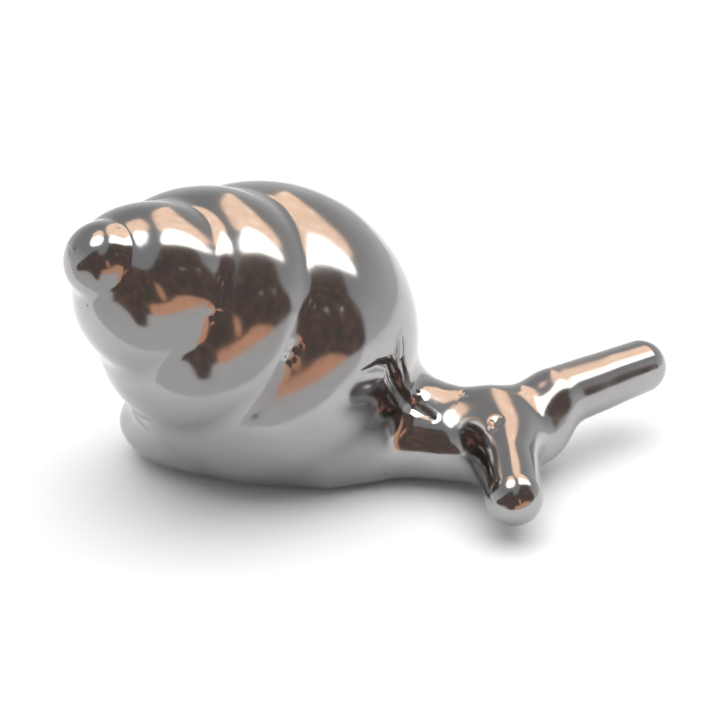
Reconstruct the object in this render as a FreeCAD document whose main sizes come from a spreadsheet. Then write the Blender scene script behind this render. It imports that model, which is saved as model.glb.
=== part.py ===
import FreeCAD, Part
import Sketcher
import math
import os

# A polished cast figurine of a snail, in millimetres.
# Frame: +X runs from tail to head, +Y to the snail's left, +Z up.
# The origin is the middle of the underside of the felt pad that it stands on, straight below
# the middle of the shell's ball.

doc = FreeCAD.newDocument("snail_figurine")
sheet = doc.addObject("Spreadsheet::Sheet", "dimensions")

DIMENSIONS = {
    # Felt pad under the sole: an ellipse round the origin.
    "felt_thick": 1.0,
    "felt_half_long": 26.0,
    "felt_half_wide": 11.0,
    # The foot is ground flat at the top of the felt; the shell stands on the seat face.
    "seat_height": 7.0,
    # Shell: a ball-shaped body whorl, with the spire leaning back over the right side.
    "shell_z": 29.85,
    "shell_turn": -36.5,
    "shell_lean": 55.5,
    # Whorls along the shell's axis: distance out from the body whorl's centre, how far the
    # middle of the bulge stands off the axis, and the radius of the bulge.
    "body_whorl_radius": 32.3,
    "cradle_radius": 32.1,
    "wide_whorl_along": 17.5,
    "wide_whorl_off": 0.3,
    "wide_whorl_radius": 25.6,
    "narrow_whorl_along": 28.3,
    "narrow_whorl_off": -13.9,
    "narrow_whorl_radius": 32.8,
    "knob_along": 51.6,
    "knob_radius": 7.4,
    # Head ball and the cheek under the right eye stalk.
    "head_x": 57.5,
    "head_y": 0.9,
    "head_z": 10.4,
    "head_radius": 8.2,
    "cheek_x": 47.6,
    "cheek_y": -6.8,
    "cheek_z": 8.0,
    "cheek_radius": 7.0,
    # Eye stalks: root, round tip, and the radius at each.
    "stalk_tip_radius": 5.9,
    "right_root_x": 50.2,
    "right_root_y": -0.2,
    "right_root_z": 12.5,
    "right_root_radius": 7.6,
    "right_tip_x": 55.0,
    "right_tip_y": -27.4,
    "right_tip_z": 9.7,
    "left_root_x": 60.8,
    "left_root_y": 8.0,
    "left_root_z": 14.5,
    "left_root_radius": 7.2,
    "left_tip_x": 78.4,
    "left_tip_y": 25.2,
    "left_tip_z": 15.5,
    # Screw that draws the shell down on the foot, with its head sunk in the sole.
    "screw_radius": 2.5,
    "screw_clearance": 0.25,
    "bore_spare": 1.0,
    "screw_head_radius": 4.65,
    "screw_head_high": 2.75,
    "screw_rim_high": 0.4,
    "screw_long": 16.0,
    "screw_point_chamfer": 0.5,
    "socket_across": 3.0,
    "socket_deep": 1.8,
    # Two dowels that keep the shell from turning on the screw.
    "dowel_radius": 1.5,
    "dowel_long": 10.0,
    "dowel_bottom": 3.5,
    "dowel_apart": 22.0,
    "dowel_chamfer": 0.3,
}

# Cross-sections of the foot, neck and head, each an ellipse across the snail:
# distance along it, offset to the left, height of the middle, half-width, half-height.
STATIONS = {
    "tail_end": (-31.5, 1.9, 8.2, 5.8, 2.8),
    "tail": (-28.5, 2.0, 8.2, 11.0, 5.3),
    "rump": (-23.5, 2.0, 8.4, 15.4, 7.5),
    "hip": (-15.5, 2.0, 8.4, 18.0, 8.5),
    "waist": (-1.5, 2.3, 8.6, 17.2, 8.8),
    "middle": (12.5, 2.0, 10.0, 18.6, 10.2),
    "shoulder": (23.5, 1.6, 13.4, 16.6, 13.2),
    "neck_root": (30.5, 1.3, 12.2, 13.2, 11.6),
    "neck": (36.5, 0.6, 10.8, 11.0, 9.8),
    "throat": (42.5, 0.1, 10.2, 9.3, 9.1),
    "nape": (49.5, 0.2, 10.8, 9.2, 9.1),
    "face": (56.5, 0.9, 11.0, 8.8, 8.7),
}
STATION_SIZES = ("x", "y", "z", "half_wide", "half_high")

for name, values in STATIONS.items():
    for measure, value in zip(STATION_SIZES, values):
        DIMENSIONS[name + "_" + measure] = value

for row, (alias, value) in enumerate(DIMENSIONS.items(), start=1):
    sheet.set("A%d" % row, alias)
    sheet.set("B%d" % row, str(value))
    sheet.setAlias("B%d" % row, alias)
doc.recompute()


def size(alias):
    return float(sheet.get(alias))


def add(kind, name, **bindings):
    """Adds an object and binds its properties to expressions over the sheet."""
    item = doc.addObject(kind, name)
    for prop, expression in bindings.items():
        item.setExpression(prop.replace("__", "."), expression)
    return item


def at(name):
    """Bindings that place an object at the sheet's point of that name."""
    return {
        "Placement__Base__x": "dimensions.%s_x" % name,
        "Placement__Base__y": "dimensions.%s_y" % name,
        "Placement__Base__z": "dimensions.%s_z" % name,
    }


def fuse(name, pieces):
    joined = doc.addObject("Part::MultiFuse", name)
    joined.Shapes = pieces
    return joined


def cut(name, base, tool):
    result = doc.addObject("Part::Cut", name)
    result.Base = base
    result.Tool = tool
    return result


# ---- Shell -------------------------------------------------------------------------------

POINTS_ROUND = 40
GROOVE_SOFTNESS = 2.5
WHORLS = (
    ("along", (0.0, size("wide_whorl_along"), size("narrow_whorl_along"), size("knob_along"))),
    ("off", (0.0, size("wide_whorl_off"), size("narrow_whorl_off"), 0.0)),
    ("radius", (size("body_whorl_radius"), size("wide_whorl_radius"),
                size("narrow_whorl_radius"), size("knob_radius"))),
)
LAST_TURN = 3


def whorl(turn):
    """Distance along the axis, offset and radius of the bulge, some turns up the spiral."""
    turn = min(max(turn, 0.0), LAST_TURN - 1e-9)
    step = int(turn)
    part = turn - step
    sizes = {}
    for name, knots in WHORLS:
        padded = (2 * knots[0] - knots[1],) + knots + (knots[-1],)
        a, b, c, d = padded[step:step + 4]
        slope = c - a
        bend = 2 * a - 5 * b + 4 * c - d
        twist = 3 * (b - c) + d - a
        sizes[name] = b + 0.5 * part * (slope + part * (bend + part * twist))
    return sizes["along"], sizes["off"], sizes["radius"]


def soft_max(a, b, softness):
    """The larger of two numbers, rounded where they are nearly equal."""
    share = min(max(0.5 + 0.5 * (a - b) / softness, 0.0), 1.0)
    return b + (a - b) * share + softness * share * (1.0 - share)


def skin(along, middle, off, radius):
    """How far from the axis one bulge reaches, or nothing where it doesn't reach."""
    rise = along - middle
    if abs(rise) >= radius:
        return 0.0
    return max(off + math.sqrt(radius ** 2 - rise ** 2), 0.0)


def shell_radius(angle, along):
    """Distance from the axis to the shell's skin: the outermost of the whorls there."""
    sweep = (angle - math.sin(angle)) / (2 * math.pi)
    reach = 0.0
    for turn in range(LAST_TURN + 1):
        reach = soft_max(reach, skin(along, *whorl(turn + sweep)), GROOVE_SOFTNESS)
    return max(reach, skin(along, *whorl(0.0)), skin(along, *whorl(LAST_TURN)))


def shell_point(angle, along):
    reach = shell_radius(angle, along)
    return FreeCAD.Vector(reach * math.cos(angle), reach * math.sin(angle), along)


def skinned(angles, levels):
    """One smooth closed skin through the shell's points, with a small flat at either end."""
    surface = Part.BSplineSurface()
    surface.interpolate([[shell_point(angle, level) for level in levels] for angle in angles])
    surface.setUPeriodic()
    side = surface.toShape()
    rims = [edge for edge in side.Edges if edge.BoundBox.ZLength < 1e-6]
    skin_shell = Part.Shell([side] + [Part.Face(Part.Wire([rim])) for rim in rims])
    skin_shell.sewShape()
    return Part.Solid(skin_shell)


BALL_TURNS = (9, 15, 22, 30, 39, 49, 60, 71, 82)
KNOB_TURNS = (0, 17, 33, 48, 61, 72, 81)
WHORL_STEP = 1.6
BALL_TOP = 5.0
ball = size("body_whorl_radius")
knob = size("knob_along")
steps = round((knob - BALL_TOP) / WHORL_STEP)
levels = [-ball * math.cos(math.radians(turn)) for turn in BALL_TURNS]
levels += [BALL_TOP + (knob - BALL_TOP) * step / steps for step in range(steps)]
levels += [knob + size("knob_radius") * math.sin(math.radians(turn)) for turn in KNOB_TURNS]

angles = [2 * math.pi * step / POINTS_ROUND - math.pi for step in range(POINTS_ROUND)]
shell_form = doc.addObject("Part::Feature", "shell_form")
shell_form.Shape = skinned(angles + [-math.pi], levels)
shell_form.Placement = FreeCAD.Placement(
    FreeCAD.Vector(0, 0, size("shell_z")),
    FreeCAD.Rotation(size("shell_turn"), 0, size("shell_lean")),
)

below_seat = add(
    "Part::Box", "below_seat",
    Length="4 * dimensions.body_whorl_radius",
    Width="4 * dimensions.body_whorl_radius",
    Height="2 * dimensions.body_whorl_radius",
    Placement__Base__x="-2 * dimensions.body_whorl_radius",
    Placement__Base__y="-2 * dimensions.body_whorl_radius",
    Placement__Base__z="dimensions.seat_height - 2 * dimensions.body_whorl_radius",
)
shell_solid = cut("shell_solid", shell_form, below_seat)

# ---- Foot, neck and head -----------------------------------------------------------------

sections = []
for name in STATIONS:
    station = add(
        "Part::Ellipse", name + "_section",
        MajorRadius="dimensions.%s_half_wide" % name,
        MinorRadius="dimensions.%s_half_high" % name,
        Placement=(
            "placement(vector(dimensions.%s_x; dimensions.%s_y; dimensions.%s_z);"
            " rotation(90; 0; 90))" % (name, name, name)
        ),
    )
    sections.append(station)

trunk = doc.addObject("Part::Loft", "trunk")
trunk.Sections = sections
trunk.Solid = True

head = add("Part::Sphere", "head", Radius="dimensions.head_radius", **at("head"))
cheek = add("Part::Sphere", "cheek", Radius="dimensions.cheek_radius", **at("cheek"))


def eye_stalk(side):
    """A stalk that narrows from its root to a round tip."""
    root, tip = side + "_root", side + "_tip"
    run = ["dimensions.%s_%s - dimensions.%s_%s" % (tip, axis, root, axis) for axis in "xyz"]
    stem = add(
        "Part::Cone", side + "_stem",
        Radius1="dimensions.%s_radius" % root,
        Radius2="dimensions.stalk_tip_radius",
        Height="sqrt((%s)^2 + (%s)^2 + (%s)^2)" % tuple(run),
        Placement=(
            "placement(vector(dimensions.%s_x; dimensions.%s_y; dimensions.%s_z);"
            " rotation(vector(0; 0; 1); vector(%s; %s; %s)))" % (root, root, root, *run)
        ),
    )
    knuckle = add("Part::Sphere", side + "_knuckle",
                  Radius="dimensions.%s_radius" % root, **at(root))
    bead = add("Part::Sphere", side + "_bead", Radius="dimensions.stalk_tip_radius", **at(tip))
    return [knuckle, stem, bead]


# The foot carries the lowest part of the shell's ball as a cradle, up to the seat face. It is
# a little smaller than the shell, so that the shell's rim hides the joint.
ball_low = add("Part::Sphere", "ball_low", Radius="dimensions.cradle_radius",
               Placement__Base__z="dimensions.shell_z")
cradle = doc.addObject("Part::Common", "cradle")
cradle.Base = ball_low
cradle.Tool = below_seat

creature = fuse("creature", [trunk, head, cheek, cradle] + eye_stalk("right") + eye_stalk("left"))

ground = add(
    "Part::Box", "ground",
    Length="8 * dimensions.felt_half_long",
    Width="8 * dimensions.felt_half_long",
    Height="2 * dimensions.felt_half_long",
    Placement__Base__x="-4 * dimensions.felt_half_long",
    Placement__Base__y="-4 * dimensions.felt_half_long",
    Placement__Base__z="dimensions.felt_thick - 2 * dimensions.felt_half_long",
)

# ---- Fasteners ---------------------------------------------------------------------------


def plane(body, role):
    return next(item for item in body.Origin.OriginFeatures if item.Role == role)


def sketch_on(body, name, role):
    sketch = body.newObject("Sketcher::SketchObject", name)
    sketch.AttachmentSupport = (plane(body, role), [""])
    sketch.MapMode = "FlatFace"
    return sketch


def pin_corner(sketch, line, x, y):
    """Ties the start of a line to a pair of expressions."""
    for kind, expression in (("DistanceX", x), ("DistanceY", y)):
        index = sketch.addConstraint(Sketcher.Constraint(kind, -1, 1, line, 1, 1.0))
        sketch.setExpression("Constraints[%d]" % index, expression)


def closed_profile(sketch, corners):
    """Draws a closed outline whose corners follow pairs of expressions."""
    count = len(corners)
    for step in range(count):
        turn = 2 * math.pi * step / count
        ahead = 2 * math.pi * (step + 1) / count
        start = FreeCAD.Vector(2 + math.cos(turn), 2 + math.sin(turn), 0)
        end = FreeCAD.Vector(2 + math.cos(ahead), 2 + math.sin(ahead), 0)
        sketch.addGeometry(Part.LineSegment(start, end))
    for step in range(count):
        follows = (step + 1) % count
        sketch.addConstraint(Sketcher.Constraint("Coincident", step, 2, follows, 1))
    for step, (x, y) in enumerate(corners):
        pin_corner(sketch, step, x, y)


def turned(body, name, corners):
    """Turns a closed outline, drawn right of the upright axis, into a solid of revolution."""
    sketch = sketch_on(body, name + "_profile", "XZ_Plane")
    closed_profile(sketch, corners)
    solid = body.newObject("PartDesign::Revolution", name + "_turned")
    solid.Profile = sketch
    solid.ReferenceAxis = (sketch, ["V_Axis"])
    solid.Angle = 360
    return solid


# Countersunk socket screw, head down, on the origin's upright axis.
HEAD = "dimensions.screw_head_radius"
SHANK = "dimensions.screw_radius"
LONG = "dimensions.screw_long"
CHAMFER = "dimensions.screw_point_chamfer"
screw = doc.addObject("PartDesign::Body", "shell_screw")
turned(screw, "screw", (
    ("0", "0"),
    (HEAD, "0"),
    (HEAD, "dimensions.screw_rim_high"),
    (SHANK, "dimensions.screw_head_high"),
    (SHANK, LONG + " - " + CHAMFER),
    (SHANK + " - " + CHAMFER, LONG),
    ("0", LONG),
))
socket_sketch = sketch_on(screw, "socket_outline", "XY_Plane")
CORNER_REACH = "dimensions.socket_across / sqrt(3)"
closed_profile(socket_sketch, [
    ("%s * cos(%d deg)" % (CORNER_REACH, turn), "%s * sin(%d deg)" % (CORNER_REACH, turn))
    for turn in range(0, 360, 60)
])
socket = screw.newObject("PartDesign::Pocket", "socket")
socket.Profile = socket_sketch
socket.Reversed = True
socket.setExpression("Length", "dimensions.socket_deep")
screw.setExpression("Placement.Base.z", "dimensions.felt_thick")

# Plain dowels, chamfered at both ends, fore and aft of the screw.
PIN = "dimensions.dowel_radius"
TOP = "dimensions.dowel_long"
EASE = "dimensions.dowel_chamfer"
dowels = []
for end, sign in (("rear", "-1 *"), ("front", "1 *")):
    dowel = doc.addObject("PartDesign::Body", end + "_dowel")
    turned(dowel, end + "_dowel", (
        ("0", "0"),
        (PIN + " - " + EASE, "0"),
        (PIN, EASE),
        (PIN, TOP + " - " + EASE),
        (PIN + " - " + EASE, TOP),
        ("0", TOP),
    ))
    dowel.setExpression("Placement.Base.x", "%s dimensions.dowel_apart / 2" % sign)
    dowel.setExpression("Placement.Base.z", "dimensions.dowel_bottom")
    dowels.append(dowel)
dowel_pins = doc.addObject("Part::Compound", "dowel_pins")
dowel_pins.Links = dowels

# ---- Felt pad ----------------------------------------------------------------------------

felt_outline = add(
    "Part::Ellipse", "felt_outline",
    MajorRadius="dimensions.felt_half_long",
    MinorRadius="dimensions.felt_half_wide",
)
base_felt = add("Part::Extrusion", "base_felt", LengthFwd="dimensions.felt_thick")
base_felt.Base = felt_outline
base_felt.Dir = FreeCAD.Vector(0, 0, 1)
base_felt.Solid = True

# ---- The two castings, bored for their fasteners -----------------------------------------


rim_bore = add(
    "Part::Cylinder", "rim_bore",
    Radius=HEAD,
    Height="dimensions.screw_rim_high",
    Placement__Base__z="dimensions.felt_thick",
)
countersink = add(
    "Part::Cone", "countersink",
    Radius1=HEAD,
    Radius2=SHANK,
    Height="dimensions.screw_head_high - dimensions.screw_rim_high",
    Placement__Base__z="dimensions.felt_thick + dimensions.screw_rim_high",
)
clearance_bore = add(
    "Part::Cylinder", "clearance_bore",
    Radius=SHANK + " + dimensions.screw_clearance",
    Height="dimensions.seat_height",
    Placement__Base__z="dimensions.felt_thick",
)
tapped_bore = add(
    "Part::Cylinder", "tapped_bore",
    Radius=SHANK,
    Height=LONG + " + dimensions.bore_spare",
    Placement__Base__z="dimensions.felt_thick",
)
dowel_bores = []
for dowel in dowels:
    bore = add("Part::Cylinder", dowel.Name + "_bore",
               Radius=PIN, Height=TOP + " + dimensions.bore_spare")
    for place in ("Placement.Base.x", "Placement.Base.z"):
        bore.setExpression(place, "%s.%s" % (dowel.Name, place))
    dowel_bores.append(bore)

shell = cut("shell", shell_solid, fuse("shell_bores", [tapped_bore] + dowel_bores))
body_cutters = [ground, shell_solid, rim_bore, countersink, clearance_bore] + dowel_bores
body = cut("body", creature, fuse("body_cutters", body_cutters))

doc.recompute()

SUBPARTS = (body, shell, screw, dowel_pins, base_felt)
LABELS = ("body", "shell", "shell_screw", "dowel_pins", "base_felt")

for item in doc.Objects:
    if "Invalid" in item.State or "Error" in item.State:
        raise RuntimeError("%s did not build: %s" % (item.Name, item.State))

os.makedirs("parts", exist_ok=True)
for item, label in zip(SUBPARTS, LABELS):
    item.Label = label
    if item.Shape.isNull() or not item.Shape.isValid():
        raise RuntimeError("%s has no valid shape" % label)
    print("%s: %.1f mm3 in %d solid(s)" % (label, item.Shape.Volume, len(item.Shape.Solids)))
    item.Shape.exportStep("parts/%s.step" % label)
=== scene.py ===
import math

import bmesh
import bpy
import numpy as np
from mathutils import Matrix, Vector


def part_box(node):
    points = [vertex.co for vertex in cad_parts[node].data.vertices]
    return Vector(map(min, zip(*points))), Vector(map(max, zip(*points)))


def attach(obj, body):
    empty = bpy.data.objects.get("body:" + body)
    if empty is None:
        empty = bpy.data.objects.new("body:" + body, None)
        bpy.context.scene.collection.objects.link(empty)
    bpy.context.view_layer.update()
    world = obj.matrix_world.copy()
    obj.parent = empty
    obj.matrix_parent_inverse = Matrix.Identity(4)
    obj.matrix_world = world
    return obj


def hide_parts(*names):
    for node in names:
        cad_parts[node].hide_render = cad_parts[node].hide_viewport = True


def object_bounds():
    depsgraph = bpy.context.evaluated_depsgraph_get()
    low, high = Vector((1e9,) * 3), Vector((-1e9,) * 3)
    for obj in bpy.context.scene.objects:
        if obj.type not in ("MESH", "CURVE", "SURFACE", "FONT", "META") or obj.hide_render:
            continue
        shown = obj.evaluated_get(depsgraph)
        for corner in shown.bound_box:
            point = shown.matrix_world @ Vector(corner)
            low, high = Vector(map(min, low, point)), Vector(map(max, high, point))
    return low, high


# A mirror-polished cast snail. The body and the shell are cut from one closed skin, which is the
# zero level of a distance field, so that reflections run across the joint as on the casting.
# Lengths in the field are in millimetres, in the CAD frame; Blender objects are in metres.

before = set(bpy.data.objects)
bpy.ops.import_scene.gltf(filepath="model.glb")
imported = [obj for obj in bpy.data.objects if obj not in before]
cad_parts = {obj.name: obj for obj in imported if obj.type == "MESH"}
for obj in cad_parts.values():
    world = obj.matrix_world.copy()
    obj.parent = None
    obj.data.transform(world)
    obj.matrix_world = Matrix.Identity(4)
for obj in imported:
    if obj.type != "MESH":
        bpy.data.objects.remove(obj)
cad_low, cad_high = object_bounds()

MM = 0.001
SOLE_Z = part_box("base_felt")[1].z / MM
SEAT_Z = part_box("shell")[0].z / MM

CELL = 0.55
MARGIN = 3.0
NORMAL_STEP = 0.05


def point(x, y, z):
    return np.array((x, y, z), float)


# ---------------------------------------------------------------- distance field: building blocks

def soft_min(a, b, blend):
    """Smallest of two distances, with a fillet about as wide as blend."""
    share = np.clip(0.5 + 0.5 * (b - a) / blend, 0, 1)
    return b * (1 - share) + a * share - blend * share * (1 - share)


def soft_max(a, b, blend):
    return -soft_min(-a, -b, blend)


def length(vectors):
    return np.sqrt((vectors * vectors).sum(-1))


def round_cone(places, start, end, start_radius, end_radius):
    """Distance to a tapered rod with round ends."""
    run = end - start
    share = np.clip(((places - start) @ run) / (run @ run), 0, 1)
    from_middle = length(places - start - share[..., None] * run)
    return from_middle - start_radius - (end_radius - start_radius) * share


def ball(places, centre, radius):
    return length(places - centre) - radius


# ---------------------------------------------------------------- shell

SHELL_CENTRE = point(0.0, 0.0, 29.85)
SHELL_TURN = math.radians(-36.5)
SHELL_LEAN = math.radians(55.5)
SHELL_AXES = np.array(Matrix.Rotation(SHELL_TURN, 3, "Z") @ Matrix.Rotation(SHELL_LEAN, 3, "X"))

# One row for each turn of the spiral, from the body whorl to the knob: distance along the
# shell's axis, how far the middle of the bulge stands off the axis, and the bulge's radius.
WHORLS = np.array((
    (0.0, 0.0, 32.3),
    (17.5, 0.3, 25.6),
    (28.3, -13.9, 32.8),
    (51.6, 0.0, 7.4),
))
GROOVE_BLEND = 1.2
GROOVE_DEPTH = GROOVE_BLEND / 4
GROOVE_WIDTH = 3.2
CORE_BOTTOM = -4.9
CORE_TOP = 51.0
CORE_RADIUS = 24.2
CORE_TIP_RADIUS = 6.0
CORE_BLEND = 3.0


def whorl(turn):
    """The rows of WHORLS at fractional turns, on a smooth curve through them. Before the first turn
    it goes back up the curve, so that the body whorl runs out into the one above it."""
    place = np.minimum(np.abs(turn), len(WHORLS) - 1 - 1e-9)
    whole = place.astype(int)
    part = (place - whole)[..., None]
    rows = np.concatenate([[2 * WHORLS[0] - WHORLS[1]], WHORLS, [WHORLS[-1]]])
    a, b, c, d = (rows[whole + step] for step in range(4))
    bend = 2 * a - 5 * b + 4 * c - d + part * (3 * (b - c) + d - a)
    return b + 0.5 * part * (c - a + part * bend)


def shell_field(places):
    local = (places - SHELL_CENTRE) @ SHELL_AXES
    across = np.hypot(local[..., 0], local[..., 1])
    along = local[..., 2]
    angle = np.arctan2(local[..., 1], local[..., 0])
    # The pitch is taken up on the far side, so the grooves in front run as rings.
    drift = (angle - np.sin(angle)) / (2 * math.pi)
    field = None
    for turn in range(len(WHORLS) + 1):
        row = whorl(turn + drift)
        bulge = np.hypot(across - row[..., 1], along - row[..., 0]) - row[..., 2]
        if field is None:
            field = bulge
        else:
            groove = GROOVE_DEPTH * np.exp(-((field - bulge) / GROOVE_WIDTH) ** 2)
            field = soft_min(field, bulge, GROOVE_BLEND) + groove
    bottom = SHELL_CENTRE + CORE_BOTTOM * SHELL_AXES[:, 2]
    top = SHELL_CENTRE + CORE_TOP * SHELL_AXES[:, 2]
    core = round_cone(places, bottom, top, CORE_RADIUS, CORE_TIP_RADIUS)
    return soft_min(field, core, CORE_BLEND)


# ---------------------------------------------------------------- body

FOOT = (
    (point(-14.3, 2.0, 0), 18.2),
    (point(-2.9, 2.6, 0), 13.9),
    (point(12.6, 2.0, 0), 15.2),
    (point(29.0, 1.6, 0), 9.0),
)
FOOT_Z = 8.2
FOOT_FLATTEN = 2.0
FOOT_GAIN = 1.2
FOOT_BLEND = 2.0
NECK = (
    (point(17.6, 1.6, 11.7), 18.7),
    (point(40.8, -0.2, 9.5), 7.3),
    (point(57.5, 0.9, 9.7), 5.3),
)
NECK_BLEND = 7.7
SNOUT = (point(57.5, 0.9, 9.7), 5.6, 4.0)
CHEEK = (point(36.5, -3.2, 9.8), point(49.8, -7.6, 8.5), 7.0, 6.4)
CHEEK_BLEND = 6.5
STALKS = (
    (point(50.2, -0.2, 12.5), point(55.0, -27.4, 9.7), 7.1),
    (point(60.8, 8.0, 14.9), point(78.4, 25.2, 15.5), 6.7),
)
STALK_TIP_RADIUS = 5.9
STALK_BLEND = 7.3


def body_field(places):
    flattened = places.copy()
    flattened[..., 2] = (places[..., 2] - FOOT_Z) * FOOT_FLATTEN
    field = None
    for (start, start_radius), (end, end_radius) in zip(FOOT, FOOT[1:]):
        part = round_cone(flattened, start, end, start_radius, end_radius)
        field = part if field is None else soft_min(field, part, FOOT_BLEND)
    field = field * FOOT_GAIN / FOOT_FLATTEN
    for (start, start_radius), (end, end_radius) in zip(NECK, NECK[1:]):
        field = soft_min(field, round_cone(places, start, end, start_radius, end_radius), NECK_BLEND)
    snout, snout_radius, snout_blend = SNOUT
    field = soft_min(field, ball(places, snout, snout_radius), snout_blend)
    field = soft_min(field, round_cone(places, *CHEEK), CHEEK_BLEND)
    for root, tip, root_radius in STALKS:
        field = soft_min(field, round_cone(places, root, tip, root_radius, STALK_TIP_RADIUS), STALK_BLEND)
    return field


# ---------------------------------------------------------------- whole casting and its joint

JOINT_BLEND = 5.0
SOLE_BLEND = 2.0
# The fillet between shell and body is deepest this far outside the shell's own surface.
JOINT_OFFSET = JOINT_BLEND / 4

# The shell's mouth shows as a lip on its right side: a notch runs down into the nape behind it,
# and a fine crease before it. Each valley is a row of points on the skin and its depth there.
NOTCH = (
    (point(23.6, -22.2, 32.8), -1.2),
    (point(26.4, -18.4, 32.6), -0.1),
    (point(28.3, -15.6, 31.2), 0.55),
    (point(29.1, -14.0, 28.0), 0.85),
    (point(30.2, -10.9, 23.6), 0.9),
    (point(32.6, -8.2, 19.0), 0.6),
    (point(36.4, -8.4, 16.6), -0.4),
)
CREASE = (
    (point(29.4, -8.6, 40.0), -1.2),
    (point(29.8, -11.0, 35.6), -0.45),
    (point(30.0, -11.6, 31.2), -0.1),
    (point(31.0, -8.4, 24.8), -0.1),
    (point(33.0, -5.0, 20.4), -0.6),
)
VALLEYS = ((NOTCH, 2.4), (CREASE, 1.5))

# Flaws of the casting that polishing has left: middle, radius and depth of each hollow.
DENTS = (
    (point(11.4, -28.3, 40.4), 1.1, 0.45),
    (point(10.3, -29.5, 38.2), 1.0, 0.40),
    (point(-3.6, -35.2, 49.2), 0.9, 0.30),
    (point(49.8, -11.2, 18.0), 1.1, 0.55),
    (point(49.6, -13.2, 17.6), 0.9, 0.45),
    (point(42.4, -2.2, 19.1), 0.9, 0.35),
)

# Slight waviness from hand polishing: direction and pitch, phase, height.
WAVES = (
    (point(0.42, 0.17, 0.31), 0.4, 0.022),
    (point(-0.23, 0.36, 0.29), 1.9, 0.022),
    (point(0.11, -0.30, 0.48), 3.1, 0.018),
    (point(0.66, 0.52, -0.21), 0.8, 0.007),
    (point(-0.47, 0.71, 0.38), 2.3, 0.006),
)


def casting(places):
    field = soft_min(body_field(places), shell_field(places), JOINT_BLEND)
    for row, blend in VALLEYS:
        valley = None
        for (start, start_radius), (end, end_radius) in zip(row, row[1:]):
            part = round_cone(places, start, end, start_radius, end_radius)
            valley = part if valley is None else np.minimum(valley, part)
        field = soft_max(field, -valley, blend)
    for middle, radius, depth in DENTS:
        field = field + depth * np.exp(-(length(places - middle) / radius) ** 2)
    for wave, phase, height in WAVES:
        field = field + height * np.sin(places @ wave + phase)
    return soft_max(field, SOLE_Z - places[..., 2], SOLE_BLEND)


def shell_side(places):
    """Below zero in the space that belongs to the shell."""
    return np.maximum(shell_field(places) - JOINT_OFFSET, SEAT_Z - places[..., 2])


def gradient(field, places):
    steps = np.eye(3) * NORMAL_STEP
    rise = [field(places + step) - field(places - step) for step in steps]
    return np.stack(rise, -1) / (2 * NORMAL_STEP)


def unit(vectors):
    return vectors / np.maximum(length(vectors), 1e-9)[..., None]


# ---------------------------------------------------------------- meshes

def surface_net(field, low, high, cell, rounds=4):
    """A closed quad mesh on the field's zero level: one vertex in each cell that it crosses."""
    axes = [np.arange(a, b + cell, cell) for a, b in zip(low, high)]
    values = np.stack([
        field(np.stack(np.meshgrid([x], axes[1], axes[2], indexing="ij"), -1))[0] for x in axes[0]
    ])
    inside = values < 0
    cells = tuple(n - 1 for n in inside.shape)
    total = np.zeros(cells + (3,))
    count = np.zeros(cells)
    quads = []
    for axis in range(3):
        near = [slice(None)] * 3
        far = [slice(None)] * 3
        near[axis], far[axis] = slice(None, -1), slice(1, None)
        crossed = inside[tuple(near)] != inside[tuple(far)]
        index = np.argwhere(crossed)
        start = values[tuple(near)][crossed]
        share = start / (start - values[tuple(far)][crossed])
        place = index.astype(float)
        place[:, axis] += share
        one, two = (axis + 1) % 3, (axis + 2) % 3
        around = []
        for back_one, back_two in ((0, 0), (1, 0), (1, 1), (0, 1)):
            cell_index = index.copy()
            cell_index[:, one] -= back_one
            cell_index[:, two] -= back_two
            np.add.at(total, tuple(cell_index.T), place)
            np.add.at(count, tuple(cell_index.T), 1)
            around.append(np.ravel_multi_index(cell_index.T, cells))
        around = np.stack(around, -1)
        outward = inside[tuple(near)][crossed]
        quads.append(np.where(outward[:, None], around, around[:, ::-1]))
    used = count > 0
    number = np.cumsum(used.ravel()) - 1
    faces = number[np.concatenate(quads)]
    places = total[used] / count[used][:, None] * cell + np.array([axis[0] for axis in axes])
    return settle(field, places, faces, rounds), faces.tolist()


def settle(field, places, faces, rounds):
    """Evens out the quads along the surface, and brings every vertex onto the zero level."""
    ring = np.concatenate([faces[:, (k, (k + 1) % 4)] for k in range(4)])
    degree = np.bincount(ring[:, 0], minlength=len(places))[:, None]
    for _ in range(rounds):
        mean = np.zeros_like(places)
        np.add.at(mean, ring[:, 0], places[ring[:, 1]])
        slope = gradient(field, places)
        normal = unit(slope)
        shift = mean / degree - places
        places = places + 0.5 * (shift - (shift * normal).sum(-1)[:, None] * normal)
        for _ in range(2):
            slope = gradient(field, places)
            places = places - slope * (field(places) / (slope * slope).sum(-1))[:, None]
    return places


def new_piece(name, places, faces):
    mesh = bpy.data.meshes.new(name)
    mesh.from_pydata((places * MM).tolist(), [], faces)
    piece = bpy.data.objects.new(name, mesh)
    bpy.context.scene.collection.objects.link(piece)
    return piece


def boolean(piece, tool, operation):
    """Applies a boolean with the tool, which is left in the scene."""
    modifier = piece.modifiers.new("cut", "BOOLEAN")
    modifier.operation = operation
    modifier.solver = "MANIFOLD"
    modifier.object = tool
    evaluated = piece.evaluated_get(bpy.context.evaluated_depsgraph_get())
    mesh = bpy.data.meshes.new_from_object(evaluated)
    piece.modifiers.clear()
    piece.data = mesh


def discard(piece):
    mesh = piece.data
    bpy.data.objects.remove(piece)
    bpy.data.meshes.remove(mesh)


ON_SKIN = 0.02
SAME_WAY = 0.8


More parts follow.
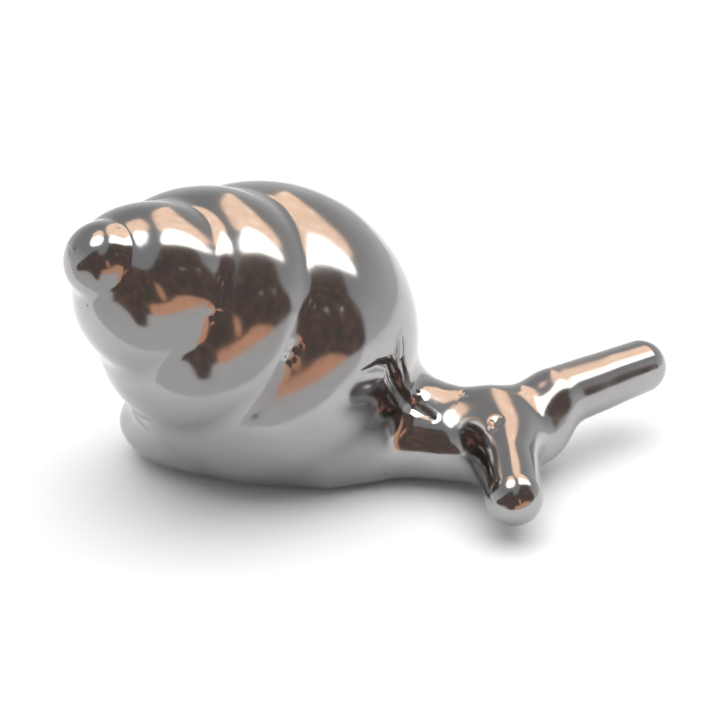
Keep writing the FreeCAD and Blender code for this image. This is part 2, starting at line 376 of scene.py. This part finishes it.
def polish(piece):
    """Gives the outer skin the field's own normals, so that it mirrors without facets."""
    mesh = piece.data
    places = np.empty(len(mesh.vertices) * 3)
    mesh.vertices.foreach_get("co", places)
    places = places.reshape(-1, 3) / MM
    on_skin = np.abs(casting(places)) < ON_SKIN
    normals = unit(gradient(casting, places))
    corners = np.empty(len(mesh.loops), int)
    mesh.loops.foreach_get("vertex_index", corners)
    starts = np.empty(len(mesh.polygons), int)
    mesh.polygons.foreach_get("loop_start", starts)
    flat = np.empty(len(mesh.polygons) * 3)
    mesh.polygons.foreach_get("normal", flat)
    flat = flat.reshape(-1, 3)
    sizes = np.diff(np.append(starts, len(corners)))
    owner = np.repeat(np.arange(len(starts)), sizes)
    agrees = (normals[corners] * flat[owner]).sum(-1) > SAME_WAY
    outer = np.logical_and.reduceat(on_skin[corners] & agrees, starts)
    loop_normals = np.where(outer[owner][:, None], normals[corners], flat[owner])
    mesh.polygons.foreach_set("use_smooth", np.ones(len(starts), bool))
    mesh.normals_split_custom_set(loop_normals.tolist())


CLEARANCE = 0.05
HEAD_DEPTH = 2.5
SHANK_RADIUS = 2.5
BORE_SIDES = 48
# How far the countersink's tool reaches out below the sole, widening as it goes.
BELOW_SOLE = 1.0


def turned(outline, centre, first):
    """Corners and faces of a solid turned about a vertical line. The outline starts and ends on it."""
    turns = np.arange(BORE_SIDES) * 2 * math.pi / BORE_SIDES
    ring = np.stack([np.cos(turns), np.sin(turns), np.zeros(BORE_SIDES)], -1)
    rings = [ring * radius + (centre[0], centre[1], height) for radius, height in outline[1:-1]]
    ends = [(centre[0], centre[1], outline[place][1]) for place in (0, -1)]
    bottom = first + len(rings) * BORE_SIDES
    top = bottom + 1
    last = bottom - BORE_SIDES
    faces = []
    for k in range(BORE_SIDES):
        after = (k + 1) % BORE_SIDES
        faces.append((bottom, first + after, first + k))
        for low in range(first, last, BORE_SIDES):
            high = low + BORE_SIDES
            faces.append((low + k, low + after, high + after, high + k))
        faces.append((top, last + k, last + after))
    return np.concatenate([*rings, ends]), faces


def fastener_bores():
    """One tool in the shape of the screw and the two dowel pins, with a little clearance."""
    low, high = (np.array(corner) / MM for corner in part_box("shell_screw"))
    head = (high[0] - low[0]) / 2 + CLEARANCE
    shank = SHANK_RADIUS + CLEARANCE
    under = low[2] - BELOW_SOLE
    screw = (
        (0, under), (head + BELOW_SOLE, under), (head, low[2]), (shank, low[2] + HEAD_DEPTH),
        (shank, high[2] + CLEARANCE), (0, high[2] + CLEARANCE),
    )
    solids = [(screw, ((low + high) / 2)[:2])]
    low, high = (np.array(corner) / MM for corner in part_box("dowel_pins"))
    radius = (high[1] - low[1]) / 2
    bottom, top = low[2] - CLEARANCE, high[2] + CLEARANCE
    pin = ((0, bottom), (radius + CLEARANCE, bottom), (radius + CLEARANCE, top), (0, top))
    for x in (low[0] + radius, high[0] - radius):
        solids.append((pin, (x, (low[1] + high[1]) / 2)))
    places, faces, first = [], [], 0
    for outline, centre in solids:
        some, around = turned(outline, centre, first)
        places.append(some)
        faces += around
        first += len(some)
    mesh = bpy.data.meshes.new("bores")
    mesh.from_pydata((np.concatenate(places) * MM).tolist(), [], faces)
    bores = bpy.data.objects.new("bores", mesh)
    bpy.context.scene.collection.objects.link(bores)
    return bores


# Room to leave around the shell's axis for its bulges, and the grid for the cut between the pieces.
SHELL_REACH = 36.0
DIVIDER_CELL = 1.0


def casting_pieces():
    """The body and the shell: one skin, cut along the divider, then bored for the fasteners."""
    low = np.array(cad_low) / MM - MARGIN
    high = np.array(cad_high) / MM + MARGIN
    shell = new_piece("shell_skin", *surface_net(casting, low, high, CELL))
    body = bpy.data.objects.new("body_skin", shell.data)
    bpy.context.scene.collection.objects.link(body)
    reach = SHELL_AXES[:, 2] * CORE_TOP
    low = np.minimum(SHELL_CENTRE, SHELL_CENTRE + reach) - SHELL_REACH
    high = np.maximum(SHELL_CENTRE, SHELL_CENTRE + reach) + SHELL_REACH
    divider = new_piece("divider", *surface_net(shell_side, low, high, DIVIDER_CELL, rounds=1))
    boolean(shell, divider, "INTERSECT")
    boolean(body, divider, "DIFFERENCE")
    discard(divider)
    bores = fastener_bores()
    boolean(shell, bores, "DIFFERENCE")
    boolean(body, bores, "DIFFERENCE")
    discard(bores)
    return body, shell


body, shell = casting_pieces()
for piece, node in ((body, "body"), (shell, "shell")):
    polish(piece)
    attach(piece, "root")
    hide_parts(node)


# ---------------------------------------------------------------- felt pad

FELT_AROUND = 192
FELT_RINGS = 14
FELT_EDGE = 5
FELT_FUZZ = 0.06
FELT_WANDER = 0.12
FELT_WAVES = range(3, 18)
# Share of the half width where the flat face ends and the soft edge begins.
FELT_FLAT = 0.97
FELT_SEED = 7


def felt_pad():
    """A pressed felt oval, cut by hand: its outline wanders, its edge is soft and its faces are uneven."""
    low, high = (np.array(corner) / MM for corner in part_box("base_felt"))
    middle = (low + high) / 2
    half = (high - low) / 2
    random = np.random.default_rng(FELT_SEED)
    turns = np.arange(FELT_AROUND) * 2 * math.pi / FELT_AROUND
    wander = sum(
        random.uniform(-1, 1) / beats * np.cos(beats * turns + random.uniform(0, 6)) for beats in FELT_WAVES
    )
    # Share of the half width and of the half thickness, from the middle of the sole to the top.
    flat = [((k + 1) / FELT_RINGS * FELT_FLAT, -1.0) for k in range(FELT_RINGS)]
    side = [math.pi * (k + 1) / (FELT_EDGE + 1) - math.pi / 2 for k in range(FELT_EDGE)]
    edge = [(FELT_FLAT + (1 - FELT_FLAT) * math.cos(lift), math.sin(lift)) for lift in side]
    profile = flat + edge + [(share, 1.0) for share, _ in reversed(flat)]
    places = []
    for share, lift in profile:
        inset = 1 - share * FELT_WANDER * (1 + wander) / half[1] / 2
        fuzz = random.uniform(0, 1, (FELT_AROUND, 2)) * FELT_FUZZ
        x = (half[0] * share * inset - fuzz[:, 1]) * np.cos(turns)
        y = (half[1] * share * inset - fuzz[:, 1]) * np.sin(turns)
        z = lift * (half[2] - fuzz[:, 0])
        places.append(np.stack([x, y, z], -1))
    sides = [(k, (k + 1) % FELT_AROUND) for k in range(FELT_AROUND)]
    bottom = len(profile) * FELT_AROUND
    last = bottom - FELT_AROUND
    faces = [
        (ring + k, ring + after, ring + after + FELT_AROUND, ring + k + FELT_AROUND)
        for ring in range(0, last, FELT_AROUND) for k, after in sides
    ]
    faces += [(bottom, after, k) for k, after in sides]
    faces += [(bottom + 1, last + k, last + after) for k, after in sides]
    places.append(np.array([(0, 0, -half[2]), (0, 0, half[2])]))
    felt = new_piece("felt_pad", np.concatenate(places) + middle, faces)
    felt.data.polygons.foreach_set("use_smooth", np.ones(len(faces), bool))
    return felt


felt = felt_pad()
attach(felt, "root")
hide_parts("base_felt")


# ---------------------------------------------------------------- materials

class Nodes:
    """Short ways to add and join shader nodes."""

    def __init__(self, tree):
        self.tree = tree
        self.shader = tree.nodes.get("Principled BSDF")

    def add(self, kind, settings=None, **inputs):
        """Adds a node. An input is a value, or another node's output. A _ in its name is a space."""
        node = self.tree.nodes.new(kind)
        for name, value in (settings or {}).items():
            setattr(node, name, value)
        for name, value in inputs.items():
            self.set(node, name.replace("_", " "), value)
        return node

    def set(self, node, name, value):
        """Sets or links a socket, given by name, or by number where names repeat."""
        socket = node.inputs[int(name)] if name.isdigit() else node.inputs[name]
        if isinstance(value, bpy.types.NodeSocket):
            self.tree.links.new(value, socket)
        else:
            socket.default_value = value

    def places(self, scale, stretch=(1, 1, 1)):
        """The object's own coordinates in millimetres, times scale, times stretch along each axis."""
        coordinates = self.add("ShaderNodeTexCoord").outputs["Object"]
        factor = [scale * share / MM for share in stretch]
        return self.add("ShaderNodeMapping", Vector=coordinates, Scale=factor).outputs[0]

    def noise(self, places, detail=3.0, roughness=0.5):
        node = self.add("ShaderNodeTexNoise", Vector=places, Scale=1.0, Detail=detail, Roughness=roughness)
        return node.outputs["Fac"]

    def between(self, value, low, high, start=0.0, end=1.0):
        """Value, moved from the range low to high into the range start to end."""
        node = self.add("ShaderNodeMapRange", {"interpolation_type": "SMOOTHSTEP"})
        for name, amount in (("Value", value), ("From Min", low), ("From Max", high)):
            self.set(node, name, amount)
        for name, amount in (("To Min", start), ("To Max", end)):
            self.set(node, name, amount)
        return node.outputs["Result"]

    def blend(self, share, first, second):
        """A mix of two colours. The node has its share at socket 0 and its colours at 6 and 7."""
        node = self.add("ShaderNodeMix", {"data_type": "RGBA"})
        for index, value in ((0, share), (6, first), (7, second)):
            self.set(node, str(index), value)
        return node.outputs[2]

    def bump(self, height, depth, below=None):
        """A bump whose highest point stands depth millimetres proud, over another bump."""
        node = self.add("ShaderNodeBump", Height=height, Distance=depth * MM, Strength=1.0)
        if below is not None:
            self.set(node, "Normal", below)
        return node.outputs["Normal"]


def material(name):
    made = bpy.data.materials.new(name)
    made.use_nodes = True
    return made, Nodes(made.node_tree)


def polished_metal():
    """Hand-polished cast aluminium: a near mirror, with a haze of fine scratches, smears and pores."""
    made, nodes = material("polished_aluminium")
    smears = nodes.noise(nodes.places(0.07, (1.0, 0.6, 1.4)), detail=5.0, roughness=0.62)
    pores = nodes.add("ShaderNodeTexVoronoi", Vector=nodes.places(0.25), Scale=1.0)
    rare = nodes.between(nodes.noise(nodes.places(0.05), detail=1.0), 0.60, 0.7)
    pore = nodes.between(pores.outputs["Distance"], 0.04, 0.08, 1.0, 0.0)
    pore = nodes.add("ShaderNodeMath", {"operation": "MULTIPLY"}, **{"0": pore, "1": rare}).outputs[0]
    scratches_one = nodes.noise(nodes.places(1.0, (0.25, 7.0, 5.0)), detail=2.0)
    scratches_two = nodes.noise(nodes.places(1.0, (5.0, 0.3, 7.0)), detail=2.0)
    clean = (0.385, 0.38, 0.377, 1)
    hazy = (0.355, 0.347, 0.343, 1)
    # The pits in the casting are coloured this dark, as well as being sunk by a bump.
    pit_dark = (0.10, 0.09, 0.085, 1)
    scratch_depth = 0.0015
    pore_depth = 0.05
    colour = nodes.blend(nodes.between(smears, 0.4, 0.7), clean, hazy)
    nodes.set(nodes.shader, "Base Color", nodes.blend(pore, colour, pit_dark))
    nodes.set(nodes.shader, "Roughness", nodes.between(smears, 0.3, 0.75, 0.11, 0.18))
    surface = nodes.bump(scratches_one, scratch_depth)
    surface = nodes.bump(scratches_two, scratch_depth, surface)
    surface = nodes.bump(pore, -pore_depth, surface)
    nodes.set(nodes.shader, "Normal", surface)
    nodes.shader.inputs["Metallic"].default_value = 1.0
    return made


def plated_steel():
    """Zinc-plated steel: pale, satin, with faint turning marks and duller spots."""
    made, nodes = material("plated_steel")
    blotches = nodes.noise(nodes.places(0.6), detail=4.0)
    rings = nodes.noise(nodes.places(1.0, (0.4, 0.4, 9.0)), detail=1.0)
    bright = (0.56, 0.57, 0.58, 1)
    dull = (0.42, 0.41, 0.38, 1)
    colour = nodes.blend(nodes.between(blotches, 0.35, 0.7), bright, dull)
    nodes.set(nodes.shader, "Base Color", colour)
    nodes.set(nodes.shader, "Roughness", nodes.between(blotches, 0.3, 0.7, 0.24, 0.42))
    nodes.set(nodes.shader, "Normal", nodes.bump(rings, 0.02))
    nodes.shader.inputs["Metallic"].default_value = 1.0
    return made


def grey_felt():
    """Pressed wool felt: matted fibres of several greys, with no shine."""
    made, nodes = material("grey_felt")
    clumps = nodes.noise(nodes.places(0.5), detail=4.0, roughness=0.6)
    fibres = nodes.noise(nodes.places(1.0, (9.0, 1.5, 4.0)), detail=4.0, roughness=0.7)
    crossing = nodes.noise(nodes.places(1.0, (1.5, 9.0, 4.0)), detail=4.0, roughness=0.7)
    charcoal = (0.055, 0.053, 0.052, 1)
    grey = (0.10, 0.097, 0.094, 1)
    pale = (0.17, 0.165, 0.16, 1)
    black = (0.035, 0.034, 0.033, 1)
    colour = nodes.blend(nodes.between(clumps, 0.35, 0.7), charcoal, grey)
    colour = nodes.blend(nodes.between(fibres, 0.52, 0.75), colour, pale)
    colour = nodes.blend(nodes.between(crossing, 0.56, 0.75), colour, black)
    nodes.set(nodes.shader, "Base Color", colour)
    nodes.shader.inputs["Roughness"].default_value = 0.95
    fibre_depth = 0.10
    clump_depth = 0.15
    surface = nodes.bump(fibres, fibre_depth)
    surface = nodes.bump(crossing, fibre_depth, surface)
    nodes.set(nodes.shader, "Normal", nodes.bump(clumps, clump_depth, surface))
    return made


metal = polished_metal()
for piece, finish in ((body, metal), (shell, metal), (felt, grey_felt())):
    piece.data.materials.clear()
    piece.data.materials.append(finish)
steel = plated_steel()
for node in ("shell_screw", "dowel_pins"):
    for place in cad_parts[node].material_slots:
        place.material = steel


# ---------------------------------------------------------------- camera, floor and light

VIEW_AZIMUTH = math.radians(8)
VIEW_ELEVATION = math.radians(25)
VIEW_DISTANCE = 0.470
VIEW_TARGET = Vector((0.0183, 0.01252, 0.01908))
VIEW_ANGLE = math.radians(18.87)
CLIP_START = 0.01

TOWARDS = Vector((
    math.sin(VIEW_AZIMUTH) * math.cos(VIEW_ELEVATION),
    -math.cos(VIEW_AZIMUTH) * math.cos(VIEW_ELEVATION),
    math.sin(VIEW_ELEVATION),
))
RIGHT = Vector((math.cos(VIEW_AZIMUTH), math.sin(VIEW_AZIMUTH), 0))
UP = TOWARDS.cross(RIGHT)


def make_camera():
    data = bpy.data.cameras.new("camera")
    data.angle = VIEW_ANGLE
    camera = bpy.data.objects.new("camera", data)
    camera.location = VIEW_TARGET + TOWARDS * VIEW_DISTANCE
    camera.rotation_mode = "QUATERNION"
    camera.rotation_quaternion = (-TOWARDS).to_track_quat("-Z", "Y")
    data.clip_start = CLIP_START
    bpy.context.scene.collection.objects.link(camera)
    bpy.context.scene.camera = camera


FLOOR_HALF = 3.0
FLOOR_FRONT = -0.055
PAPER_WHITE = (0.92, 0.92, 0.92, 1)
PAPER_ROUGHNESS = 0.9


def make_floor(name, front, back):
    """One part of the floor, from y = front to y = back."""
    left, right = -FLOOR_HALF, FLOOR_HALF
    corners = [(left, front, 0), (right, front, 0), (right, back, 0), (left, back, 0)]
    mesh = bpy.data.meshes.new(name)
    mesh.from_pydata(corners, [], [(0, 1, 2, 3)])
    floor = bpy.data.objects.new(name, mesh)
    bpy.context.scene.collection.objects.link(floor)
    paper, nodes = material(name + "_paper")
    nodes.shader.inputs["Base Color"].default_value = PAPER_WHITE
    nodes.shader.inputs["Roughness"].default_value = PAPER_ROUGHNESS
    mesh.materials.append(paper)
    return floor


OVERHEAD_SIZE = 2.0
OVERHEAD_WATTS = 24
OVERHEAD_PLACE = (0.1, 0.1, 1.2)


def make_overhead_light():
    """A large soft light that brightens the floor, and isn't seen in the metal."""
    data = bpy.data.lights.new("overhead", "AREA")
    data.size = OVERHEAD_SIZE
    data.energy = OVERHEAD_WATTS
    light = bpy.data.objects.new("overhead", data)
    light.location = OVERHEAD_PLACE
    light.visible_glossy = False
    bpy.context.scene.collection.objects.link(light)


def mirror_direction(right, up):
    """The direction that a polished ball shows, at that place on its disc, from the camera."""
    depth = math.sqrt(1 - right * right - up * up)
    half_way = right * RIGHT + up * UP + depth * TOWARDS
    return 2 * half_way.dot(TOWARDS) * half_way - TOWARDS


CORNER_CUTS = (0.2, 0.8)
CORNER_ROUNDS = 2
CARD_SUBDIVISIONS = 3


def rounded(places):
    """The outline with its corners cut off, and the new corners cut off again."""
    for _ in range(CORNER_ROUNDS):
        ends = list(zip(places, places[1:] + places[:1]))
        places = [
            tuple(a + share * (b - a) for a, b in zip(start, end))
            for start, end in ends for share in CORNER_CUTS
        ]
    return places


def card(name, places, distance, paint):
    """A curved patch seen only in reflections, covering this outline on a polished ball's disc."""
    patch = bmesh.new()
    patch.faces.new([patch.verts.new((right, up, 0)) for right, up in rounded(places)])
    bmesh.ops.triangulate(patch, faces=patch.faces[:])
    for _ in range(CARD_SUBDIVISIONS):
        bmesh.ops.subdivide_edges(patch, edges=patch.edges[:], cuts=1, use_grid_fill=True)
    for corner in patch.verts:
        corner.co = mirror_direction(corner.co.x, corner.co.y) * distance
    mesh = bpy.data.meshes.new(name)
    patch.to_mesh(mesh)
    patch.free()
    made = bpy.data.objects.new(name, mesh)
    bpy.context.scene.collection.objects.link(made)
    made.visible_camera = False
    made.visible_shadow = False
    made.visible_diffuse = False
    mesh.materials.append(paint)


def glow(name, colour, strength=1.0, mottle=None, spots=9.0):
    """A light-giving paint. It may be mottled with a second colour, with so many spots to a metre."""
    made, nodes = material(name)
    nodes.tree.nodes.remove(nodes.shader)
    colour += (1,)
    if mottle is not None:
        coordinates = nodes.add("ShaderNodeTexCoord").outputs["Object"]
        upright = (spots, spots, 0.6 * spots)
        stretched = nodes.add("ShaderNodeMapping", Vector=coordinates, Scale=upright).outputs[0]
        share = nodes.between(nodes.noise(stretched, detail=3.0), 0.48, 0.68)
        colour = nodes.blend(share, colour, mottle + (1,))
    emission = nodes.add("ShaderNodeEmission", Color=colour, Strength=strength).outputs[0]
    nodes.set(nodes.tree.nodes["Material Output"], "Surface", emission)
    return made


# What the metal mirrors, as places right of and above a ball's middle: a dark area behind the
# camera, a strip of warm wood under it, soft white lights over it, warm light above those, and
# two lamps. They light nothing and no camera sees them. Each is nearer than the one it covers.
ROOM = (
    (0.22, 0.45), (0.17, 0.28), (0.10, 0.12), (-0.02, 0.10), (-0.08, 0.24), (-0.20, 0.18), (-0.40, 0.02),
    (-0.60, -0.12), (-0.60, -0.26), (-0.32, -0.28), (-0.20, -0.38), (-0.14, -0.51), (-0.05, -0.51),
    (-0.02, -0.38), (0.10, -0.37), (0.22, -0.33), (0.36, -0.25), (0.66, -0.06), (0.62, 0.12), (0.52, 0.24),
    (0.50, 0.32), (0.45, 0.44), (0.33, 0.46),
)
ROOM_DISTANCE = 1.6
TABLE = (
    (
        (0.03, -0.28), (0.02, -0.38), (0.10, -0.38), (0.22, -0.34), (0.36, -0.26), (0.54, -0.15),
        (0.48, -0.12), (0.33, -0.11), (0.24, -0.21), (0.12, -0.26),
    ),
    ((0.13, -0.02), (0.16, -0.20), (0.22, -0.20), (0.20, -0.08)),
)
TABLE_DISTANCE = 1.45
WINDOWS = (
    (
        (0.19, 0.42), (0.33, 0.435), (0.46, 0.41), (0.58, 0.38), (0.50, 0.50), (0.34, 0.60), (0.20, 0.64),
        (0.17, 0.52),
    ),
    ((-0.26, 0.32), (-0.06, 0.34), (0.03, 0.42), (0.04, 0.56), (-0.08, 0.60), (-0.25, 0.52)),
)
WINDOW_DISTANCE = 1.3
WARM_WALLS = (
    (
        (0.15, 0.58), (0.20, 0.60), (0.34, 0.56), (0.47, 0.46), (0.56, 0.50), (0.44, 0.66), (0.32, 0.75),
        (0.20, 0.83), (0.06, 0.93), (0.02, 0.80),
    ),
    ((-0.24, 0.50), (0.02, 0.54), (0.04, 0.66), (-0.08, 0.74), (-0.22, 0.64)),
)
WALL_DISTANCE = 1.4
LAMPS = ((0.48, 0.16), (0.36, 0.15))
LAMP_HALF = 0.014
LAMP_DISTANCE = 1.2


def diamond(right, up, half):
    return [(right - half, up), (right, up - half), (right + half, up), (right, up + half)]


def make_cards():
    dark = glow("dark_room", (0.14, 0.115, 0.105), mottle=(0.34, 0.20, 0.155))
    wood = glow("wood", (1.15, 0.60, 0.38), mottle=(0.80, 0.48, 0.36), spots=14.0)
    white = glow("window_light", (1.0, 0.985, 0.94), strength=4.4)
    peach = glow("warm_wall", (2.1, 1.45, 1.08), mottle=(2.6, 2.05, 1.6))
    lamp = glow("lamp", (1.0, 0.95, 0.85), strength=1.3)
    lamps = [diamond(right, up, LAMP_HALF) for right, up in LAMPS]
    for name, outlines, distance, paint in (
        ("room", (ROOM,), ROOM_DISTANCE, dark),
        ("table", TABLE, TABLE_DISTANCE, wood),
        ("warm_wall", WARM_WALLS, WALL_DISTANCE, peach),
        ("window", WINDOWS, WINDOW_DISTANCE, white),
        ("lamp", lamps, LAMP_DISTANCE, lamp),
    ):
        for number, places in enumerate(outlines):
            card("%s_%d" % (name, number), places, distance, paint)


TENT_SIDES = (0.81, 0.80, 0.80, 1)
TENT_TOP = (0.43, 0.435, 0.445, 1)
# The tent's light turns from one to the other as a direction's upward part goes through these.
TENT_HEIGHTS = (-0.05, 0.7)


def make_world():
    """A grey tent, lighter near the floor than overhead."""
    world = bpy.data.worlds.new("tent")
    bpy.context.scene.world = world
    world.use_nodes = True
    nodes = Nodes(world.node_tree)
    direction = nodes.add("ShaderNodeTexCoord").outputs["Generated"]
    height = nodes.add("ShaderNodeSeparateXYZ", Vector=direction).outputs["Z"]
    colour = nodes.blend(nodes.between(height, *TENT_HEIGHTS), TENT_SIDES, TENT_TOP)
    nodes.set(world.node_tree.nodes["Background"], "Color", colour)


make_camera()
make_floor("floor", FLOOR_FRONT, FLOOR_HALF)
# The table ends just before the object, as the metal sees it, and plain floor goes on for the eye.
make_floor("front_floor", -FLOOR_HALF, FLOOR_FRONT).visible_glossy = False
make_overhead_light()
make_world()
make_cards()

bpy.context.scene.view_settings.view_transform = "Standard"
